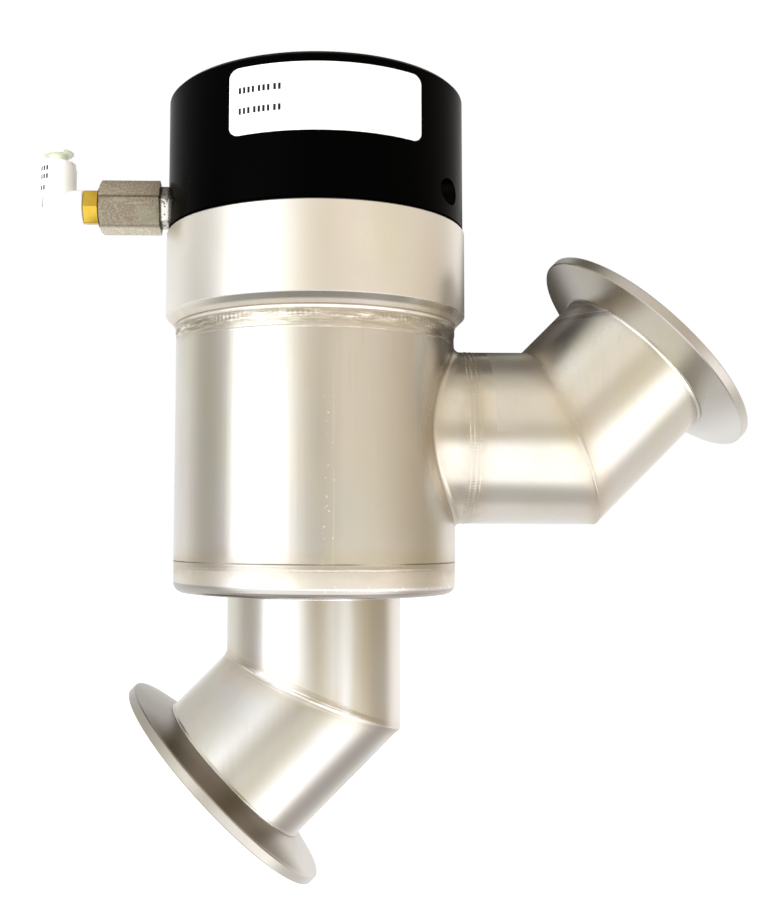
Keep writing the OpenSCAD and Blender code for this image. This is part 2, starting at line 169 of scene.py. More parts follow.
# %% The graph writer
class Signal:
    """One output of a shader node."""

    def __init__(self, tree, socket=None):
        self.tree = tree
        self.socket = socket

    def node(self, kind, settings=None, sockets=None, out=0):
        """Add a node: its settings first, then a value or a link for each socket."""
        made = self.tree.nodes.new("ShaderNode" + kind)
        for key, value in (settings or {}).items():
            if key == "stops":
                ramp = made.color_ramp.elements
                while len(ramp) < len(value):
                    ramp.new(0.5)
                for element, (position, colour) in zip(ramp, value):
                    element.position = position
                    element.color = colour
            else:
                setattr(made, key, value)
        for key, value in (sockets or {}).items():
            if isinstance(value, Signal):
                self.tree.links.new(value.socket, made.inputs[key])
            else:
                made.inputs[key].default_value = value
        return Signal(self.tree, made.outputs[out] if made.outputs else None)

    def other(self, name):
        """Another output of the same node."""
        return Signal(self.tree, self.socket.node.outputs[name])

    def math(self, operation, *values):
        return self.node("Math", {"operation": operation}, dict(enumerate(values)))

    def __add__(self, other):
        return self.math("ADD", self, other)

    __radd__ = __add__

    def __sub__(self, other):
        return self.math("SUBTRACT", self, other)

    def __rsub__(self, other):
        return self.math("SUBTRACT", other, self)

    def __mul__(self, other):
        return self.math("MULTIPLY", self, other)

    __rmul__ = __mul__

    def __truediv__(self, other):
        return self.math("DIVIDE", self, other)

    def __pow__(self, other):
        return self.math("POWER", self, other)

    def __abs__(self):
        return self.math("ABSOLUTE", self)

    def __gt__(self, other):
        return self.math("GREATER_THAN", self, other)

    def __lt__(self, other):
        return self.math("LESS_THAN", self, other)


print("graph writer ready")

# %% [markdown]
# A handful of words cover most masks. `ease` goes smoothly from 0 to 1 between two values, `near` is
# 1 at a value and fades to 0 a little way off, `grain` is a noise between 0 and 1, and `blend` mixes
# two colours. `largest` keeps the strongest of several masks, where adding them would burn out.

# %% Words for masks
def ease(value, start, end):
    """0 before start, 1 after end, smooth between."""
    return value.node("MapRange", {"interpolation_type": "SMOOTHSTEP"},
                      {"Value": value, "From Min": start, "From Max": end})


def near(value, centre, width):
    return 1 - ease(abs(value - centre), 0.0, width)


def grain(place, scale, stretch=(1, 1, 1), detail=2.0, roughness=0.5):
    """Noise on Object coordinates; scale counts features in a metre."""
    stretched = place.node("Mapping", {}, {"Vector": place, "Scale": stretch})
    return place.node("TexNoise", {}, {"Vector": stretched, "Scale": scale, "Detail": detail,
                                       "Roughness": roughness})


def blend(first, second, amount):
    source = amount if isinstance(amount, Signal) else first
    return source.node("Mix", {"data_type": "RGBA"}, {0: amount, 6: first, 7: second}, out=2)


def largest(first, *others):
    for mask in others:
        first = first.math("MAXIMUM", first, mask)
    return first


def colour(red, green, blue):
    return (red, green, blue, 1.0)


print("words: ease, near, grain, blend, largest, colour")

# %% [markdown]
# A finish starts with its coordinates and ends with one Principled shader. `Object` coordinates are
# metres in the model's own frame, so the same weld is at the same place for every part that meets it,
# and a heat tint runs on from one tube to the next. They are also turned here into millimetres from
# the joint on the valve's axis, because that is how the landmarks are measured.

# %% Start and close a finish
def start_finish(name):
    material = bpy.data.materials.new(name)
    material.use_nodes = True
    material.node_tree.nodes.clear()
    place = Signal(material.node_tree).node("TexCoord", {}, {}, out="Object")
    return material, place


def valve_mm(place):
    """x, y and z in millimetres from the joint on the valve's axis."""
    split = place.node("SeparateXYZ", {}, {"Vector": place})
    return ((split - axis_x) * 1000, split.other("Y") * 1000, (split.other("Z") - joint_z) * 1000)


def close_finish(place, height=None, depth=0.0, **sockets):
    """The Principled shader: names are its socket names with _ for a space."""
    named = {key.replace("_", " "): value for key, value in sockets.items()}
    if height is not None:
        named["Normal"] = place.node("Bump", {}, {"Height": height, "Distance": depth,
                                                  "Strength": 1.0})
    shader = place.node("BsdfPrincipled", {}, named)
    place.node("OutputMaterial", {}, {"Surface": shader})


def hypot(first, second):
    return (first * first + second * second) ** 0.5


print("finishes can be opened and closed")

# %% [markdown]
# ## Stainless steel
#
# The tubes are stainless steel with a fine satin finish, welded and then cleaned. Three things keep
# such steel from looking like grey plastic: its reflections are blurred unevenly, because handling
# and pickling leave dull clouds, a faint grain runs along the drawing direction, and the heat of
# each weld leaves a straw to brown band beside it. The tone itself also drifts a little, towards
# rosy, mossy and cool. Where the welds are is one formula of the distance to each of them, shared
# by every steel part.

# %% Where the welds are
FAR = 100
SLANT = math.sqrt(0.5)
HALF_MITRE = math.radians(22.5)
mitre_sin, mitre_cos = math.sin(HALF_MITRE), math.cos(HALF_MITRE)
top_weld_z = ring_foot - 1.2
bottom_weld_z = plate_high - 1.4
orbital_x = collar_x


def weld_distance(x, y, z):
    """The smallest distance to a weld, in millimetres, near enough for a tint. FAR is added to a
    weld's distance where its formula would also match some other place."""
    off_axis = hypot(x, y)
    on_body = (off_axis > body_r + 2.5) * FAR
    left_of_saddle = (x < 20.0) * FAR
    around_port = abs(hypot(y, z - side_z) - port_r) + abs(off_axis - body_r) + left_of_saddle
    side_mitre = abs((x - side_corner_x) * mitre_cos + (z - side_z) * mitre_sin)
    lower_mitre = abs(x * mitre_sin + (z - lower_corner_z) * mitre_cos)
    distances = [abs(z - top_weld_z) + on_body, abs(z - bottom_weld_z) + on_body, around_port,
                 abs(x - orbital_x) + (hypot(y, z - side_z) > port_r + 1.0) * FAR,
                 side_mitre + (x < 45.0) * FAR, lower_mitre + (z > -115.0) * FAR]
    nearest = distances[0]
    for distance in distances[1:]:
        nearest = nearest.math("MINIMUM", nearest, distance)
    return nearest


print("welds at z %.1f and %.1f, x %.2f" % (top_weld_z, bottom_weld_z, orbital_x))

# %% [markdown]
# The finish itself takes a tone, a roughness and the strength of each effect, because the ring is
# turned and blasted, the tubes are drawn, and the flanges carry rings from the lathe.

# %% Mix the steels
STEEL_GRIT = 0.00001
STRAW = colour(0.60, 0.47, 0.28)
SMOKE = colour(0.36, 0.33, 0.31)


def steel(name, tone, rough, cloud=0.10, streak=(1, 1, 0.04), streak_depth=0.03, tint=0.0,
          worked=None):
    """worked(x, y, z, base, gloss) may change the colour and gloss where a part was machined."""
    material, place = start_finish(name)
    clouds = grain(place, 38, detail=3.0)
    wide = grain(place, 11, detail=1.0)
    hue = grain(place, 60, stretch=(1, 1, 0.4), detail=3.0)
    streaks = grain(place, 900, stretch=streak, detail=2.0)
    fine = grain(place, 2600, detail=1.0)
    shade = tuple(channel * 0.82 for channel in tone[:3]) + (1.0,)
    rosy = colour(tone[0] * 1.01, tone[1] * 0.96, tone[2] * 1.02)
    mossy = colour(tone[0] * 0.97, tone[1] * 0.98, tone[2] * 0.90)
    base = blend(tone, rosy, ease(hue, 0.50, 0.66) * 0.6)
    base = blend(base, mossy, ease(hue, 0.50, 0.34) * 0.7)
    cool = colour(tone[0] * 0.90, tone[1] * 0.96, tone[2] * 1.06)
    cooling = grain(place, 24, stretch=(1, 1, 0.5), detail=3.0)
    base = blend(base, cool, ease(cooling, 0.50, 0.66) * 0.7)
    base = blend(base, shade, ease(clouds * 0.6 + wide * 0.4, 0.42, 0.72) * 0.55)
    base = blend(base, shade, ease(streaks, 0.45, 0.85) * 0.2)
    gloss = rough + (clouds - 0.5) * cloud * 2 + (streaks - 0.5) * streak_depth * 2
    x, y, z = valve_mm(place)
    if tint:
        distance = weld_distance(x, y, z) + (grain(place, 160, detail=3.0) - 0.5) * 4
        base = blend(base, STRAW, (1 - ease(distance, 1.0, 7.0)) * tint)
        base = blend(base, SMOKE, (1 - ease(distance, 0.2, 3.0)) * tint * 0.7)
        gloss = gloss + (1 - ease(distance, 0.5, 4.0)) * 0.08
    if worked:
        base, gloss = worked(place, x, y, z, base, gloss)
    close_finish(place, fine * 0.6 + streaks * 0.8, STEEL_GRIT, Base_Color=base, Metallic=1.0,
                 Roughness=gloss)
    return material


# %% [markdown]
# Some places were worked differently. The ring's chamfer is smoother than the blasted side and is
# painted darker, a painted reflection of the dark below it, with a painted highlight along its arris,
# and the lip under it has a painted highlight. The weld below was brushed by hand, which left brown
# scratches round the tube. The seam between tube and bottom plate is a thin brown line that comes and
# goes, and the plate's rounded edge has painted shade, with bright flecks above it. The body tube was
# rolled and welded, so a pale seam with small marks runs down its front.

# %% Worked places on the body
CHAMFER_SHADE = colour(0.37, 0.35, 0.31)
GLINT = colour(0.98, 0.96, 0.92)
SCRATCH = colour(0.30, 0.26, 0.18)
BRUSHED = colour(0.97, 0.95, 0.88)
LIP_HIGHLIGHT = colour(1.0, 0.98, 0.94)
SEAM = colour(0.09, 0.075, 0.06)
UNDERSIDE_SHADE = colour(0.47, 0.44, 0.41)
FLECK = colour(1.0, 1.0, 0.97)
PALE_SEAM = colour(0.98, 0.95, 0.86)
MARK = colour(1.0, 1.0, 0.98)


def worked_body(place, x, y, z, base, gloss):
    """The chamfer with its painted shade, painted highlights on its arris and the lip, the brushed
    weld, the foot with its painted underside shade, and the long seam.
    """
    off_axis = hypot(x, y)
    on_body = (off_axis > body_r - 1.0) * (off_axis < body_r + 4.0)
    on_cone = (off_axis > body_r + 0.45) * (z > ring_foot - 0.3)
    chamfer = (on_cone * ease(z, ring_foot + 2.60, ring_foot + 2.45)
               * ease(z, ring_foot + 0.7, ring_foot + 1.4) * ease(x, -40, -22)
               * (1 - ease(x, 25, 38) * 0.6))
    arris = on_cone * near(z, ring_foot + 2.75, 0.22) * ease(x, -10, 6)
    # Painted reflection: the chamfer is painted darker, standing in for the dark it reflects below the
    # ring, and its arris gets a painted highlight.
    base = blend(base, CHAMFER_SHADE, chamfer)
    base = blend(base, GLINT, arris * 0.8)
    lip = near(z, ring_foot - 0.75, 0.55) * on_body
    scratches = grain(place, 1500, stretch=(0.10, 0.10, 1), detail=3.0, roughness=0.7)
    patches = grain(place, 60, stretch=(1, 1, 2), detail=3.0)
    brushed = near(z, ring_foot - 3.0, 3.2) * on_body
    base = blend(base, SCRATCH, brushed * ease(scratches, 0.44, 0.60)
                 * ease(patches, 0.30, 0.60) * 0.8)
    base = blend(base, BRUSHED, brushed * ease(scratches, 0.48, 0.36) * 0.8)
    # Painted highlight: the lip is painted nearly white.
    base = blend(base, LIP_HIGHLIGHT, lip * ease(patches, 0.62, 0.40) * 0.9)
    broken = ease(grain(place, 30, detail=2.0), 0.38, 0.56)
    seam = near(z, plate_high, 0.30) * on_body
    base = blend(base, SEAM, seam * broken * 0.9)
    on_plate = (off_axis > port_r + 3.0) * (z > plate_low - 0.4) * (off_axis < body_r + 1.0)
    # Painted shade on the plate's rounded edge under the body.
    under = ease(z + x * 0.015, plate_low + 2.7, plate_low + 2.2) * on_plate
    flecks = ease(grain(place, 800, detail=2.0), 0.56, 0.64) * near(z, plate_low + 2.8, 1.0)
    flecks = flecks * ease(x, -6, 4) * on_plate
    base = blend(base, UNDERSIDE_SHADE, under)
    base = blend(base, FLECK, flecks)
    front = ease(y, -37, -40) * (z > plate_high) * (z < ring_foot - 5)
    long_seam = near(x + patches * 0.8, 4.5, 0.45) * front * ease(z, -38, -60)
    marks = ease(grain(place, 1000, detail=1.0), 0.67, 0.73) * near(x, 3.2, 3.2) * front
    base = blend(base, PALE_SEAM, long_seam * broken * 0.18)
    base = blend(base, MARK, marks * ease(z, -45, -62))
    gloss = (gloss - chamfer * 0.12 + brushed * (scratches - 0.4) * 0.5 + seam * 0.2
             - under * 0.08 - flecks * 0.15)
    return base, gloss


def worked_ring(place, x, y, z, base, gloss):
    """Painted reflection: the front of the blasted side is painted palest to the left and right and
    darker in the middle.
    """
    blasted = (z > ring_foot + 2.7) * ease(y, 10, -10)
    # Painted reflection: the front of the side is painted paler towards left and right and darker in
    # the middle.
    base = blend(base, colour(1.0, 0.97, 0.92), blasted * ease(abs(x), 16, 34) * 0.8)
    base = blend(base, colour(0.76, 0.72, 0.64), blasted * near(x, 1.5, 14) * 0.7)
    return worked_body(place, x, y, z, base, gloss)


# %% [markdown]
# On the lower port, pale, tan and bluish bands run down the front of its tube, and it is palest at its
# right edge. The hand-ground weld at the mitre is a band of bright lines along the seam, and a tan
# stripe lies along the tube behind it. `over_port` is the distance from the elbow's axis towards the
# lower right. The side port is dull beside its orbital weld and on top of its elbow.

# %% Worked places on the lower port
TAN = colour(0.52, 0.48, 0.39)
BLUE_BAND = colour(0.86, 0.88, 0.92)
PALE_EDGE = colour(0.98, 0.95, 0.93)
BROWN_STRIPE = colour(0.34, 0.31, 0.24)
GREY_STRIPE = colour(0.50, 0.48, 0.44)
DARK_STRIPE = colour(0.46, 0.42, 0.39)
GROUND_PALE = colour(0.98, 0.97, 0.93)
GROUND_DARK = colour(0.46, 0.43, 0.38)
DULL = colour(0.52, 0.48, 0.40)


def worked_tube(place, x, y, z, base, gloss):
    """Both ports, with the body's own worked places first."""
    base, gloss = worked_body(place, x, y, z, base, gloss)
    on_port = (z < plate_low) * (hypot(x, y) < port_r + 30.0)
    past_seam = x * mitre_sin + (z - lower_corner_z) * mitre_cos
    over_port = (x - (z - lower_corner_z)) * SLANT
    front = ease(y, 4, -4)
    straight = on_port * (past_seam > 0) * front
    wander = (grain(place, 70, stretch=(1, 1, 0.3), detail=2.0) - 0.5) * 5
    tan = largest(near(x + wander, 0.8, 4.5) * 0.8, near(x + wander, 14.2, 6.6))
    base = blend(base, TAN, straight * tan)
    edge = straight * ease(x, 19.0, 22.5)
    base = blend(base, BLUE_BAND, straight * near(x + wander, 8.5, 3.0) * 0.5)
    base = blend(base, PALE_EDGE, edge)
    stripe = near(over_port + wander * 0.5, 2.8, 8.0) * on_port * (past_seam < 0) * front
    base = blend(base, BROWN_STRIPE, stripe * 0.85)
    elbow = on_port * (past_seam < 0) * front
    base = blend(base, GREY_STRIPE, elbow * near(over_port, -6.0, 5.0) * 0.5)
    base = blend(base, DARK_STRIPE, elbow * near(over_port, 19.0, 4.5) * 0.8)
    line_place = place.node("CombineXYZ", {}, {"X": past_seam * MM, "Y": y * (0.06 * MM)})
    lines = grain(line_place, 1300, detail=3.0, roughness=0.6)
    ground = near(past_seam, 0.4, 2.6) * on_port * ease(x, -24, -17) * ease(x, 17, 4)
    base = blend(base, GROUND_PALE, ground * ease(lines, 0.50, 0.38))
    base = blend(base, GROUND_DARK, ground * ease(lines, 0.54, 0.66) * 0.8)
    dull = near(x, orbital_x - 1.5, 7.0) * ease(grain(place, 110, detail=3.0), 0.36, 0.60)
    base = blend(base, DULL, dull * 0.6)
    over_side = (x - side_corner_x - (z - side_z)) * SLANT
    upper = ease(over_side, -9, -19) * (x > 50) * (z > side_z)
    return base, gloss - ground * 0.05 + edge * 0.15 + upper * 0.14


# %% [markdown]
# The back of the lower flange has painted shade, a painted reflection of the shade beneath the valve,
# and both flanges have a painted highlight at their lower right. The hexagon nipple is pitted.

# %% Worked places on the flanges and the nipple
LIT_SIDE_HIGHLIGHT = colour(0.74, 0.72, 0.67)
FLANGE_BACK_SHADE = colour(0.215, 0.18, 0.145)
PIT = colour(0.16, 0.13, 0.09)


def worked_flange(place, x, y, z, base, gloss):
    behind_face = ((x - lower_face.x) + (z - lower_face.z)) * SLANT
    on_lower = (z < -100)
    over_lower = (x - (z - lower_corner_z)) * SLANT
    over_side = (x - side_corner_x - (z - side_z)) * SLANT
    # Painted highlight: both flanges are painted paler at their lower right.
    painted_lit_side = largest(ease(over_lower, 14, 32) * on_lower, ease(over_side, 20, 34) * (z > -100))
    base = blend(base, LIT_SIDE_HIGHLIGHT, painted_lit_side)
    # Painted shade: the back of the lower flange is painted dark, a painted reflection of the shade
    # beneath the valve.
    taper = ease(behind_face, 2.7, 3.2) * on_lower
    scale = taper * ease(abs(y), 16, 31) * (0.76 + grain(place, 90, detail=3.0) * 0.3)
    return blend(base, FLANGE_BACK_SHADE, scale), gloss + taper * 0.05


def pitted(place, x, y, z, base, gloss):
    pits = ease(grain(place, 900, detail=3.0), 0.50, 0.60)
    return blend(base, PIT, pits * 0.8), gloss + pits * 0.3


finishes = {
    "tube_steel": steel("tube steel", colour(0.70, 0.67, 0.61), 0.21, tint=0.30,
                        worked=worked_tube),
    "ring_steel": steel("ring steel", colour(0.87, 0.835, 0.77), 0.34, streak=(1, 1, 0.6),
                        streak_depth=0.02, tint=0.28, worked=worked_ring),
    "flange_steel": steel("flange steel", colour(0.50, 0.47, 0.42), 0.30, cloud=0.08,
                          worked=worked_flange),
    "inner_steel": steel("inner steel", colour(0.62, 0.60, 0.57), 0.30, cloud=0.05),
    "nipple_steel": steel("nipple steel", colour(0.62, 0.60, 0.54), 0.20, cloud=0.15,
                          worked=pitted),
    "zinc_steel": steel("zinc steel", colour(0.60, 0.60, 0.61), 0.28),
    "spring_steel": steel("spring steel", colour(0.20, 0.20, 0.21), 0.35),
    "piston_alloy": steel("piston alloy", colour(0.72, 0.72, 0.74), 0.32),
}
print("steels:", ", ".join(finishes))

# %% [markdown]
# ## The other finishes
#
# The cap is black anodised aluminium: nearly black, satin, with faint turning lines, a painted sheen
# along its upper edge, and dull in the groove above the ring. The label is a glossy white film.

# %% Cap and label
def cap_finish():
    material, place = start_finish("cap black")
    x, y, z = valve_mm(place)
    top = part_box("actuator_cap")[1].z
    cap_top = (top - joint_z) / MM
    turning = grain(place, 2200, stretch=(0.02, 0.02, 1), detail=2.0)
    dust = ease(grain(place, 420, detail=4.0, roughness=0.7), 0.66, 0.80)
    clouds = grain(place, 45, detail=3.0)
    edges = near(z, cap_top - 0.4, 0.6) * ease(hypot(x, y), 42.0, 43.2)
    joint = ease(z, 0.95, 0.70)
    base = blend(colour(0.0, 0.0, 0.0), colour(0.0002, 0.0002, 0.0003), clouds)
    # Painted sheen: the upper edge is painted a little paler.
    base = blend(base, colour(0.03, 0.03, 0.03), edges * grain(place, 260) * 1.2)
    base = blend(base, colour(0.006, 0.006, 0.006), dust * 0.1)
    close_finish(place, turning, 0.000012, Base_Color=base, Metallic=0.0,
                 Roughness=0.25 + (clouds - 0.5) * 0.12 + (turning - 0.5) * 0.10 + joint * 0.75,
                 Specular_IOR_Level=0.018)
    return material


def label_finish():
    material, place = start_finish("label white")
    wrinkle = grain(place, 60, detail=2.0)
    paper = grain(place, 1500, detail=2.0)
    base = blend(colour(0.93, 0.93, 0.93), colour(0.86, 0.87, 0.88), wrinkle * 0.4)
    close_finish(place, wrinkle + paper * 0.05, 0.00004, Base_Color=base,
                 Roughness=0.22 + paper * 0.08, Coat_Weight=0.3, Coat_Roughness=0.08)
    return material


finishes["cap_black"] = cap_finish()
finishes["label_white"] = label_finish()
print("cap and label mixed")

# %% [markdown]
# The coupling is dull hexagon bar, brown-grey and speckled. The fitting's hexagon is bright brass.
# The bushing is sintered bronze, whose pores show as dark specks.

# %% Coupling, brass and bronze
def bar_finish():
    """Painted light and shade: the face in front is painted the darkest, and the one below it the
    palest.
    """
    material, place = start_finish("coupling steel")
    bar_low, bar_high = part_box("hex_coupling")
    above = valve_mm(place)[2] - ((bar_low.z + bar_high.z) / 2 - joint_z) / MM
    speckle = grain(place, 1500, detail=3.0, roughness=0.7)
    drawn = grain(place, 1400, stretch=(0.06, 1, 1), detail=2.0)
    clouds = grain(place, 130, detail=3.0)
    # Painted light and shade: each face of the hexagon gets its own tone by height, darkest in front
    # and palest below.
    face = blend(colour(0.66, 0.64, 0.56), colour(0.24, 0.21, 0.17), ease(above, -6.9, -6.5))
    face = blend(face, colour(0.52, 0.47, 0.40), ease(above, 1.8, 2.2))
    spot_tone = blend(colour(0.80, 0.76, 0.66), colour(1.25, 1.22, 1.15), ease(speckle, 0.38, 0.66))
    base = face.node("Mix", {"data_type": "RGBA", "blend_type": "MULTIPLY"},
                     {0: 1.0, 6: face, 7: spot_tone}, out=2)
    base = blend(base, colour(0.33, 0.34, 0.24), ease(clouds, 0.45, 0.75) * 0.45)
    base = blend(base, colour(0.56, 0.52, 0.44), ease(drawn, 0.58, 0.8) * 0.3)
    close_finish(place, speckle + drawn, 0.00002, Base_Color=base, Metallic=0.85,
                 Roughness=0.40 + speckle * 0.14)
    return material


def brass_finish(name, tone, dark, rough, pores):
    material, place = start_finish(name)
    marks = grain(place, 1100, stretch=(1, 0.1, 0.1), detail=2.0)
    clouds = grain(place, 220, detail=2.0)
    specks = ease(grain(place, 3000, detail=1.0), 0.62, 0.75) * pores
    base = blend(blend(tone, dark, clouds * 0.5), dark, specks)
    close_finish(place, marks - specks, 0.000012, Base_Color=base, Metallic=1.0,
                 Roughness=rough + marks * 0.12 + specks * 0.2)
    return material


finishes["coupling_steel"] = bar_finish()
finishes["brass"] = brass_finish("brass", colour(0.64, 0.43, 0.06), colour(0.42, 0.27, 0.025),
                                 0.20, 0.0)
finishes["bronze"] = brass_finish("bronze", colour(0.62, 0.42, 0.20), colour(0.25, 0.15, 0.07),
                                  0.38, 0.8)
print("coupling, brass and bronze mixed")

# %% [markdown]
# The push-in elbow is a white moulding with a little light in it, and its release button is pale
# green. Seals are black rubber, and the rolling diaphragm is rubber over a woven cloth, which shows
# as a fine square pattern.

# %% Plastics and rubbers
def moulded(name, tone, rough, inner=0.0):
    material, place = start_finish(name)
    flow = grain(place, 90, detail=2.0)
    skin = grain(place, 2400, detail=2.0)
    shade = tuple(channel * 0.93 for channel in tone[:3]) + (1.0,)
    close_finish(place, skin, 0.000008, Base_Color=blend(tone, shade, flow),
                 Roughness=rough + skin * 0.10, Subsurface_Weight=inner,
                 Subsurface_Radius=(1.0, 0.9, 0.8), Subsurface_Scale=0.0015)
    return material


def rubber(name, tone, weave=0.0):
    material, place = start_finish(name)
    skin = grain(place, 1300, detail=3.0)
    bloom = grain(place, 120, detail=3.0)
    x, y, z = valve_mm(place)
    threads = ((x * 4.5).math("SINE", x * 4.5) * (y * 4.5).math("SINE", y * 4.5) + 1) * 0.5
    paler = tuple(channel * 2.2 for channel in tone[:3]) + (1.0,)
    base = blend(tone, paler, ease(bloom, 0.5, 0.8) * 0.5)
    base = blend(base, paler, threads * weave)
    close_finish(place, skin + threads * weave * 2, 0.00003, Base_Color=base,
                 Roughness=0.52 + bloom * 0.2, Specular_IOR_Level=0.25)
    return material


finishes["fitting_white"] = moulded("fitting white", colour(0.90, 0.90, 0.87), 0.32, 0.15)
finishes["button_pale"] = moulded("button pale", colour(0.76, 0.81, 0.68), 0.30, 0.10)
finishes["rubber_black"] = rubber("rubber black", colour(0.008, 0.008, 0.008))
finishes["diaphragm_rubber"] = rubber("diaphragm rubber", colour(0.035, 0.030, 0.027), 0.6)
print("finishes:", len(finishes))

# %% [markdown]
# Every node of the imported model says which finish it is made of. Its material slot is filled with
# the finish of that name, and its mesh stays as it is.

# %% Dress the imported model
slots = {part["node"]: part["material_slot"] for part in frame["record"]["subparts"]}
for name, slot in slots.items():
    nodes[name].material_slots[0].material = finishes[slot]
print("dressed", len(slots), "nodes")

# %% [markdown]
# ## Welds
#
# Each weld bead is a closed ring of metal that follows a seam. Its cross-section is a low crown that
# sits on the surface and a root that is sunk in it. A bead could be drawn as a curve with a round
# bevel, but a real one is wide and flat, it turns over a corner at a mitre, and its ripples bow, so
# the cross-section is placed by formula at each step, and bridge_loops joins the loops.

# %% A ring of metal from its cross-section
def finish_piece(name, mesh, slot, body="root"):
    """Make the object, smooth it, give it its finish and let it ride on its body."""
    bmesh.ops.recalc_face_normals(mesh, faces=mesh.faces)
    for face in mesh.faces:
        face.smooth = True
    piece = add_mesh(name, mesh)
    piece.data.materials.append(finishes[slot])
    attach(piece, body)
    print(name, len(piece.data.polygons), "faces")
    return piece


def hoop(name, steps, section, slot):
    """section(turn) gives the points of the cross-section in order, in millimetres."""
    sections = [section(math.tau * step / steps) for step in range(steps)]
    mesh = bmesh.new()
    loops = []
    for k in range(len(sections[0])):
        circle = bmesh.ops.create_circle(mesh, segments=steps, radius=1.0)["verts"]
        for vert, points in zip(circle, sections):
            vert.co = spot(*points[k])
        loops.append(list({edge for vert in circle for edge in vert.link_edges}))
    for first, second in zip(loops, loops[1:] + loops[:1]):
        bmesh.ops.bridge_loops(mesh, edges=first + second)
    piece = finish_piece(name, mesh, slot)
    piece.data.set_sharp_from_angle(angle=math.radians(40))
    return piece


# %% [markdown]
# `bead` works out that cross-section from a seam. The seam gives a point on the surface, the way
# out of it, the way across the bead, and how much the surface falls away beside the seam, which is
# zero on a plain tube and changes sign round a mitre.

# %% The cross-section of a bead
BEAD_POINTS = 10
BEAD_ROOT = 0.5


def bead(name, seam, width, height, rough, ripples=0, ripple=0.25, slot="tube_steel", steps=480):
    def section(turn):
        point, out, across, fall = seam(turn)
        points = []
        for k in range(BEAD_POINTS + 1):
            part = 2 * k / BEAD_POINTS - 1
            wave = math.sin(ripples * turn + 1.6 * part * part) * ripple if ripples else 0.0
            swell = (1 - part * part) ** 2
            side = part * width / 2
            here = point + across * side
            crown = swell * (height * (1 + wave)
                             + rough * noise.noise(point * 0.45 + across * side * 1.6)
                             + rough * 0.4 * noise.noise(point * 1.3 + across * side * 4.0))
            points.append(here + out * (crown - abs(side) * fall - 0.01))
        for part in (1, -1):
            points.append(point + across * (part * width / 2)
                          + out * (-abs(width / 2) * fall - BEAD_ROOT))
        return points

    return hoop(name, steps, section, slot)


def round_seam(radius, height):
    """A seam round the valve's axis."""
    def seam(turn):
        out = Vector((math.cos(turn), math.sin(turn), 0))
        return out * radius + Vector((0, 0, height)), out, Vector((0, 0, 1)), 0.0

    return seam


def port_seam(along):
    """A seam round the side port's straight axis."""
    def seam(turn):
        out = Vector((0, math.sin(turn), math.cos(turn)))
        return out * port_r + Vector((along, 0, side_z)), out, Vector((1, 0, 0)), 0.0

    return seam


print("seams: round the body, round the side port")

# %% [markdown]
# Under the ring the weld is uneven, because it was run by hand and cleaned with a brush, and a fine
# line below it shows how far the tube was turned to fit. At the foot, a neat bead joins the tube and
# the bottom plate, and another holds the lower port's tube in the plate.

# %% Body welds
bead("ring_lip", round_seam(body_r, ring_foot - 0.5), 1.6, 0.45, rough=0.05,
     slot="ring_steel")
bead("weld_under_ring", round_seam(body_r, top_weld_z - 1.1), 3.4, 0.20, rough=0.10,
     ripples=190, ripple=0.15, steps=950)
bead("turned_line", round_seam(body_r, top_weld_z - 4.8), 0.9, 0.06, rough=0.03, steps=360)
bead("foot_line", round_seam(body_r, plate_high - 1.2), 1.4, 0.07, rough=0.03, steps=360)
bead("weld_port_in_plate", round_seam(port_r, plate_low), 2.2, 0.60, rough=0.10, ripples=160,
     steps=800)

# %% [markdown]
# The side port is pulled out of the body's own wall, so the corner between them is a smooth hollow.
# A ball rolled along the corner touches both tubes, and the hollow is the arc between the two
# points it touches. Past it an orbital weld joins the port's tube: three fine ridges side by side.

# %% The pulled collar and the orbital weld
HOLLOW = 1.9
ARC_STEPS = 7
ROOT_DEPTH = 0.7


def saddle_section(turn):
    def on_corner(grow):
        y, z = (port_r + grow) * math.sin(turn), (port_r + grow) * math.cos(turn)
        return Vector((math.sqrt((body_r + grow) ** 2 - y * y), y, z))

    ball = on_corner(HOLLOW)
    to_body = -Vector((ball.x, ball.y, 0)).normalized()
    to_port = -Vector((0, ball.y, ball.z)).normalized()
    port_axis = Vector((0, 0, side_z))
    arc = [ball + to_body.slerp(to_port, k / ARC_STEPS) * HOLLOW for k in range(ARC_STEPS + 1)]
    return [point + port_axis for point in arc + [on_corner(-ROOT_DEPTH)]]


hoop("pulled_corner", 240, saddle_section, "tube_steel")
for number, (offset, width, height) in enumerate([(-1.5, 1.0, 0.08), (-0.2, 1.5, 0.12),
                                                  (1.2, 1.0, 0.07)]):
    bead("orbital_weld_%d" % (number + 1), port_seam(orbital_x + offset), width, height,
         rough=0.05, ripples=170, ripple=0.15, steps=680)

# %% [markdown]
# Each port has one mitre. Its seam is an ellipse in the plane that halves the bend. Outside the bend
# the two tubes fall away from the seam, and inside it they rise, so the bead is told the slope. The
# side mitre was fused without filler and is nearly flush, the lower one is a heavier hand weld.

# %% Mitre welds
def side_mitre_seam(turn):
    across = Vector((mitre_cos, 0, mitre_sin))
    y, z = port_r * math.sin(turn), port_r * math.cos(turn)
    shift = -z * mitre_sin / mitre_cos
    point = Vector((side_corner_x + shift, y, side_z + z))
    out = Vector((shift, y, z)).normalized()
    return point, out, across, -math.cos(turn) * mitre_sin / mitre_cos


def lower_mitre_seam(turn):
    across = Vector((mitre_sin, 0, mitre_cos))
    x, y = port_r * math.cos(turn), port_r * math.sin(turn)
    drop = -x * mitre_sin / mitre_cos
    point = Vector((x, y, lower_corner_z + drop))
    out = Vector((x, y, drop)).normalized()
    return point, out, across, math.cos(turn) * mitre_sin / mitre_cos


